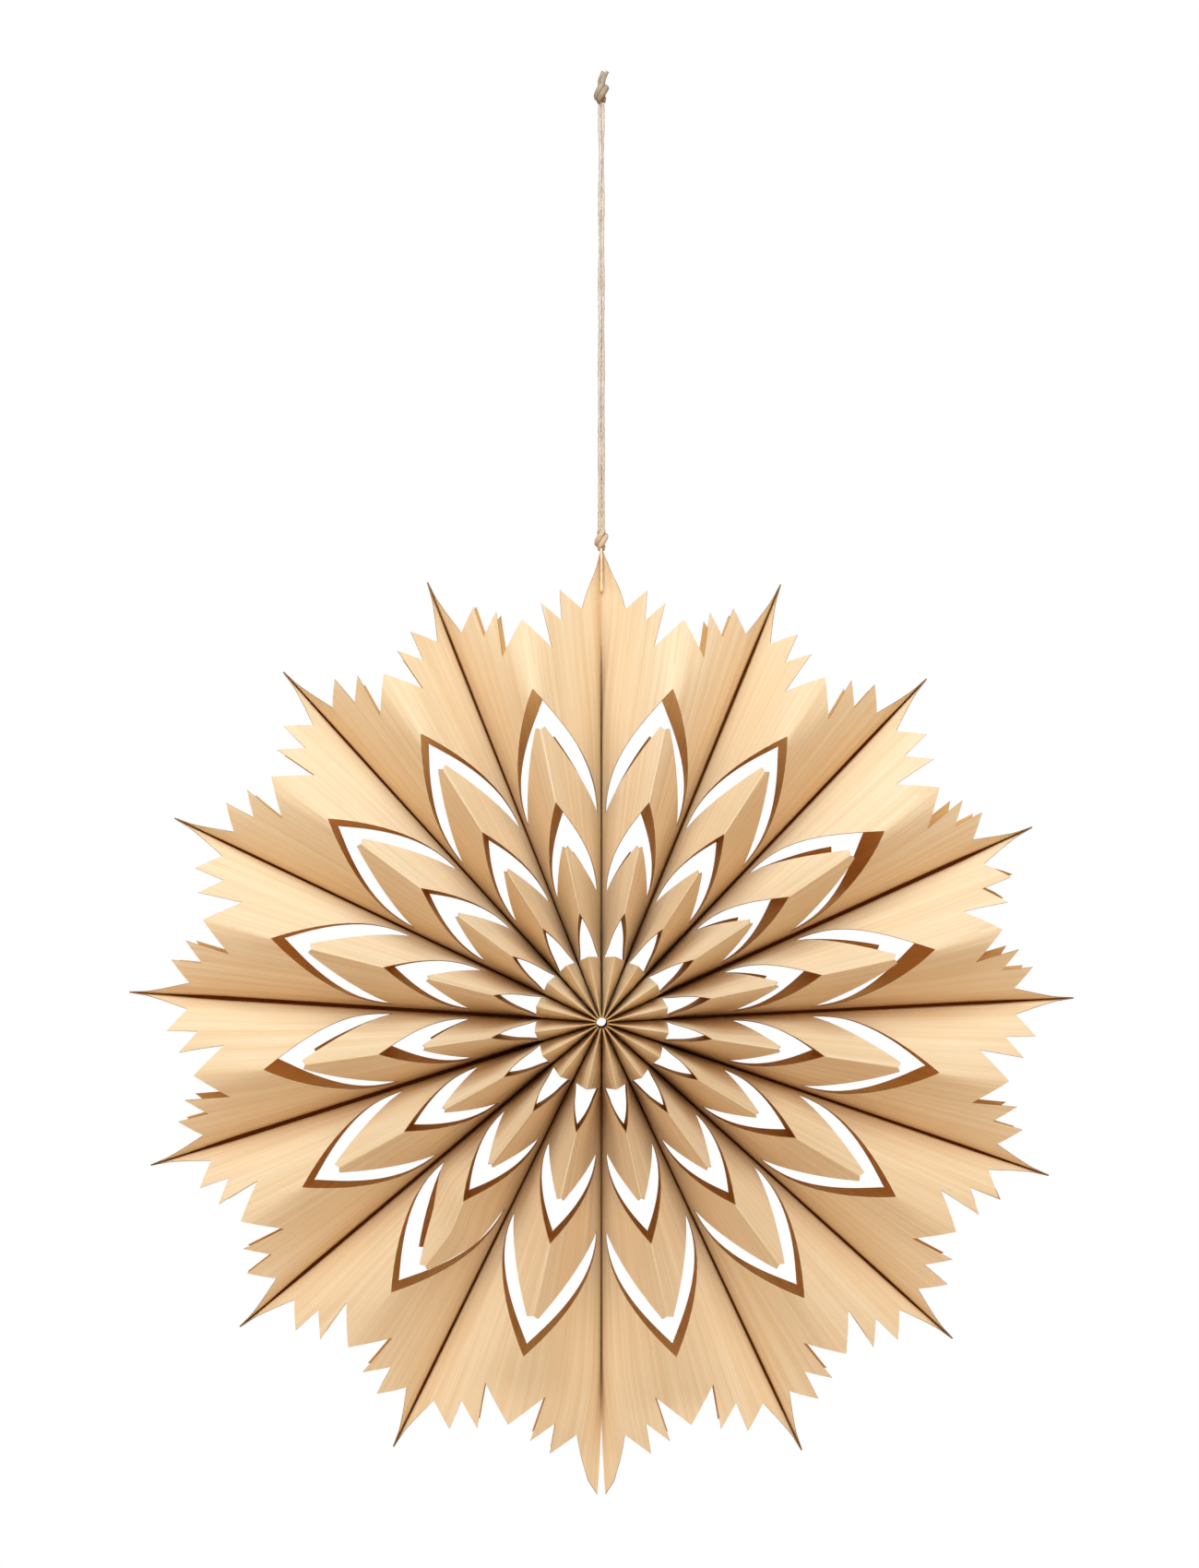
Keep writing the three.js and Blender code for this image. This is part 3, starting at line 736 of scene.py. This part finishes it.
def veneerSheet(pattern, sleeve):
    random.seed(sleeve["number"])
    sheetTone = random.uniform(-veneerGrain["toneSpread"], veneerGrain["toneSpread"])
    bm = pattern.copy()
    across = bm.verts.layers.float.new("across")
    along = bm.verts.layers.float.new("along")
    tone = bm.verts.layers.float.new("tone")
    for v in bm.verts:
        v[across], v[along], v[tone] = v.co.x, v.co.y, sheetTone
        v.co = foldPoint(v.co.x, v.co.y, sleeve, "glued")
    for axis in ("X", "Y"):
        bmesh.ops.mirror(bm, geom=bm.verts[:] + bm.edges[:] + bm.faces[:], matrix=Matrix.Identity(4),
                         merge_dist=mergeWithin, axis=axis)
    bmesh.ops.remove_doubles(bm, verts=bm.verts, dist=mergeWithin)
    bmesh.ops.recalc_face_normals(bm, faces=bm.faces)
    front = min(bm.faces, key=lambda face: face.calc_center_median().y)
    if front.normal.y > 0:
        bmesh.ops.reverse_faces(bm, faces=bm.faces)
    if sleeve["hangs"]:
        cutTwineSlot(bm, sleeve, across, along)
    for v in bm.verts:
        t, s, side = v[across], v[along], 1 if v.co.x > 0 else -1
        kind = "glued"
        if sleeve["hangs"] and side == -sleeve["wing"]:
            kind = "top"
        elif sleeve["closes"] and side == sleeve["wing"]:
            kind = "bottom"
        if kind != "glued":
            point = openPoint(t, s, sleeve, kind)
            v.co = Vector((side * point.x, math.copysign(point.y, v.co.y), point.z))
        v.co += unevenMove(v.co, t, s, sleeve)
    finishSheet(bm, sleeve, across, along)
    turn = Matrix.Translation(starCentre / mm) @ Matrix.Rotation(sleeve["angle"], 4, "Y")
    bmesh.ops.transform(bm, verts=bm.verts, matrix=turn)
    return bm


def flatten(piece):
    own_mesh(piece)


# Dried wood glue in the valleys, nearly dull in its groove and uneven along the line; its dark amber is
# painted shade of the valley as much as the glue's own colour
glueShadeLine = {
    "half": 3.0, "topHalf": 0.35, "start": 12, "end": 188, "topEnd": 160, "rowStep": 6,
    "sunk": 0.01,                     # into the sheets on either side
    "runOut": 20, "runOutFrom": 0.3,  # towards an end it gets shallower, to about a fifth of its depth
    "bead": 3,
}


def glueAndShadeMaterial():
    material, tree = newMaterial("wood_glue_and_painted_valley_shade")
    place = addNode(tree, "ShaderNodeTexCoord").outputs["Object"]
    bead = addNode(tree, "ShaderNodeTexNoise", {
        "Vector": place, "Scale": 1 / (glueShadeLine["bead"] * mm), "Detail": 2.0}).outputs["Fac"]
    # a dark brown that paints the shade in the valley's groove
    colour = addNode(tree, "ShaderNodeMix", {
        "Factor": bead, 6: linear("#6E3609"), 7: linear("#4C2104")}, data_type="RGBA")
    relief = addNode(tree, "ShaderNodeBump", {"Height": bead, "Strength": 0.4, "Distance": 0.1 * mm})
    shader = addNode(tree, "ShaderNodeBsdfPrincipled", {
        "Base Color": colour.outputs[2], "Roughness": 0.6, "IOR": 1.47, "Specular IOR Level": 0.05,
        "Normal": relief.outputs["Normal"]})
    finishMaterial(tree, shader.outputs["BSDF"])
    return material


glueAndValleyShade = glueAndShadeMaterial()


# It fills the bottom of its valley, in front and behind, as a dark bead of painted shade in the groove, and
# runs out towards both ends
def makeGlueShadeBead(node, body, valleyAngle, sleeve, wide, half, end):
    start = glueShadeLine["start"]
    bm = bmesh.new()
    middle = Matrix.Translation((0, 0, (start + end) / 2))
    bmesh.ops.create_cube(bm, size=1, matrix=middle @ Matrix.Diagonal((1, 2 * half, end - start, 1)))
    rows = range(start + glueShadeLine["rowStep"], int(end), glueShadeLine["rowStep"])
    cutAcross(bm, [((0, 0, 0), (0, 1, 0))] + [((0, 0, s), (0, 0, 1)) for s in rows])
    runOut, runOutFrom = glueShadeLine["runOut"], glueShadeLine["runOutFrom"]
    for v in bm.verts:
        s = v.co.z
        fromStart, toEnd = (smoothShare(reach / runOut + runOutFrom) for reach in (s - start, end - s))
        deep = abs(v.co.y) * fromStart * toEnd
        off = sectionAt(deep, s, sleeve, "glued")[0] + mouthAt(deep, s, wide) + glueShadeLine["sunk"]
        v.co = Vector((math.copysign(off, v.co.x), math.copysign(deep, v.co.y), s))
    bmesh.ops.recalc_face_normals(bm, faces=bm.faces)
    place = Matrix.Translation(starCentre / mm) @ Matrix.Rotation(valleyAngle, 4, "Y")
    bmesh.ops.transform(bm, verts=bm.verts, matrix=place)
    return makePiece(bm, node + "_glue_and_shade_bead", [glueAndValleyShade], body, [node])


# Nickel-plated bar magnets behind the closing faces: bright, with fine tumbling marks
closureMagnet = {"length": 9, "width": 4, "thick": 1.2, "off": 1.15, "at": 141, "round": 0.2, "marks": 0.6}


def nickelMaterial():
    material, tree = newMaterial("nickel_plated_magnet")
    place = addNode(tree, "ShaderNodeTexCoord").outputs["Object"]
    marks = addNode(tree, "ShaderNodeTexNoise", {
        "Vector": place, "Scale": 1 / (closureMagnet["marks"] * mm), "Detail": 3.0}).outputs["Fac"]
    gloss = addNode(tree, "ShaderNodeMapRange", {"Value": marks, "To Min": 0.2, "To Max": 0.45}).outputs[0]
    colour = addNode(tree, "ShaderNodeMix", {
        "Factor": marks, 6: linear("#B9BABA"), 7: linear("#9A9894")}, data_type="RGBA")
    shader = addNode(tree, "ShaderNodeBsdfPrincipled", {
        "Base Color": colour.outputs[2], "Metallic": 1.0, "Roughness": gloss})
    finishMaterial(tree, shader.outputs["BSDF"])
    return material


nickelPlate = nickelMaterial()


def makeMagnet(node, body, wing):
    bm = bmesh.new()
    size = Matrix.Diagonal((closureMagnet["thick"], closureMagnet["width"], closureMagnet["length"], 1))
    bmesh.ops.create_cube(bm, size=1, matrix=size)
    bmesh.ops.bevel(bm, geom=bm.edges[:], offset=closureMagnet["round"], offset_type="OFFSET",
                    affect="EDGES", segments=3, profile=0.5, material=-1)
    place = starCentre / mm + Vector((wing * closureMagnet["off"], 0, -closureMagnet["at"]))
    bmesh.ops.translate(bm, verts=bm.verts, vec=place)
    return makePiece(bm, node + "_bar", [nickelPlate], body, [node])


def makeStar():
    pattern = flatPanel()
    print("sleeve pattern: %d faces" % len(pattern.faces))
    for wing in (1, -1):
        valleys = [sum(openings[:k]) for k in range(sleeveCount + 1)]
        for k, degrees in enumerate(valleyShift[wing], 1):
            valleys[k] += math.radians(degrees)
        mouths = (0,) + valleyMouth[wing] + (0,)
        for k in range(1, sleeveCount + 1):
            near, far = valleys[k - 1], valleys[k]
            number = k if wing > 0 else 2 * sleeveCount + 1 - k
            node = "sleeve_%02d" % number
            angle = wing * (near + far) / 2
            sleeve = {"number": number, "wing": wing, "half": (far - near) / 2, "angle": angle,
                      "hangs": k == 1, "closes": k == sleeveCount,
                      "rimRound": veneerSleeve["rimRound"][k - 1],
                      "mouth": {-wing: mouths[k - 1], wing: mouths[k]}}
            piece = makePiece(veneerSheet(pattern, sleeve), node + "_veneer",
                              [veneerFace, veneerBackShaded, veneerEdge], node, [node])
            flatten(piece)
            if sleeve["closes"]:
                held = makeMagnet("closure_magnet_" + ("right" if wing > 0 else "left"), node, wing)
            else:
                glueNode = "glue_line_%02d" % (k if wing > 0 else 2 * sleeveCount - k)
                held = makeGlueShadeBead(glueNode, node, wing * far, sleeve, mouths[k],
                                    glueShadeLine["half"], glueShadeLine["end"])
            flatten(held)
    top = makeGlueShadeBead("glue_line_top", "hanger", 0, sleeve, 0, glueShadeLine["topHalf"], glueShadeLine["topEnd"])
    flatten(top)
    pattern.free()
    print("star: %d sleeves" % (2 * sleeveCount))


makeStar()


# Light: a broad cool lamp above the camera, weak warm ones on either side and below, one for the back,
# and a dim room
studio = {
    "lamps": {  # place from the star centre, size, watts, colour
        "key": ((-60, -830, 840), 900, 18.4, "#D8EBFF"),
        "left": ((-1150, -900, 200), 800, 6.0, "#FFDCBC"),
        "right": ((1150, -900, 200), 800, 5.8, "#FFDCBC"),
        "low": ((0, -950, -700), 700, 5.2, "#FFCB98"),
        "back": ((0, 1000, 500), 900, 7.0, "#FFF3E4"),
    },
    "room": 0.16, "floorBelow": 560, "floorHalf": 1000,
    "floorGlow": 0.5, "floorFade": (250, 900),  # the floor turns to white between these distances
}


def seenDirectly(tree):
    path = addNode(tree, "ShaderNodeLightPath")
    most = addNode(tree, "ShaderNodeMath", {
        0: path.outputs["Is Camera Ray"], 1: path.outputs["Is Glossy Ray"]}, operation="MAXIMUM")
    return addNode(tree, "ShaderNodeMath", {
        0: most.outputs[0], 1: path.outputs["Is Transmission Ray"]}, operation="MAXIMUM").outputs[0]


def hangLamps(scene):
    for name, (place, size, power, colour) in studio["lamps"].items():
        lamp = bpy.data.lights.new(name, "AREA")
        lamp.size = size * mm
        lamp.energy = power
        lamp.color = linear(colour)[:3]
        light = bpy.data.objects.new(name, lamp)
        scene.collection.objects.link(light)
        offset = Vector(place) * mm
        light.location = starCentre + offset
        light.rotation_euler = offset.to_track_quat("Z", "Y").to_euler()


def lightRoom(scene):
    world = bpy.data.worlds.new("room")
    world.use_nodes = True
    scene.world = world
    tree = world.node_tree
    tree.nodes.clear()
    strength = addNode(tree, "ShaderNodeMapRange", {
        "Value": seenDirectly(tree), "To Min": studio["room"], "To Max": 1.0})
    room = addNode(tree, "ShaderNodeBackground", {
        "Color": linear("#FFFFFF"), "Strength": strength.outputs[0]})
    addNode(tree, "ShaderNodeOutputWorld", {"Surface": room.outputs["Background"]})


# The floor is pale under the star and fades to white, for the camera and for reflections only
def layFloor(scene):
    bm = bmesh.new()
    bmesh.ops.create_grid(bm, x_segments=1, y_segments=1, size=studio["floorHalf"] * mm)
    bmesh.ops.translate(bm, verts=bm.verts, vec=starCentre - Vector((0, 0, studio["floorBelow"] * mm)))
    mesh = bpy.data.meshes.new("floor")
    bm.to_mesh(mesh)
    bm.free()
    floor = bpy.data.objects.new("floor", mesh)
    scene.collection.objects.link(floor)
    material, tree = newMaterial("pale_floor")
    place = addNode(tree, "ShaderNodeTexCoord").outputs["Object"]
    flat = addNode(tree, "ShaderNodeVectorMath", {0: place, 1: (1, 1, 0)}, operation="MULTIPLY")
    away = addNode(tree, "ShaderNodeVectorMath", {0: flat.outputs[0]}, operation="LENGTH").outputs["Value"]
    near, far = studio["floorFade"]
    fade = addNode(tree, "ShaderNodeMapRange", {
        "Value": away, "From Min": near * mm, "From Max": far * mm,
        "To Min": studio["floorGlow"]}).outputs[0]
    white = addNode(tree, "ShaderNodeMath", {
        0: fade, 1: seenDirectly(tree)}, operation="MULTIPLY").outputs[0]
    diffuse = addNode(tree, "ShaderNodeBsdfDiffuse", {"Color": linear("#F2F0EC")})
    glow = addNode(tree, "ShaderNodeEmission", {"Color": linear("#FFFFFF"), "Strength": 1.0})
    mix = addNode(tree, "ShaderNodeMixShader", {0: white, 1: diffuse.outputs[0], 2: glow.outputs[0]})
    finishMaterial(tree, mix.outputs[0])
    mesh.materials.append(material)


def lightStudio():
    scene = bpy.context.scene
    scene.view_settings.view_transform = "Standard"
    hangLamps(scene)
    lightRoom(scene)
    layFloor(scene)
    print("light: %d lamps, room %.2f" % (len(studio["lamps"]), studio["room"]))


lightStudio()
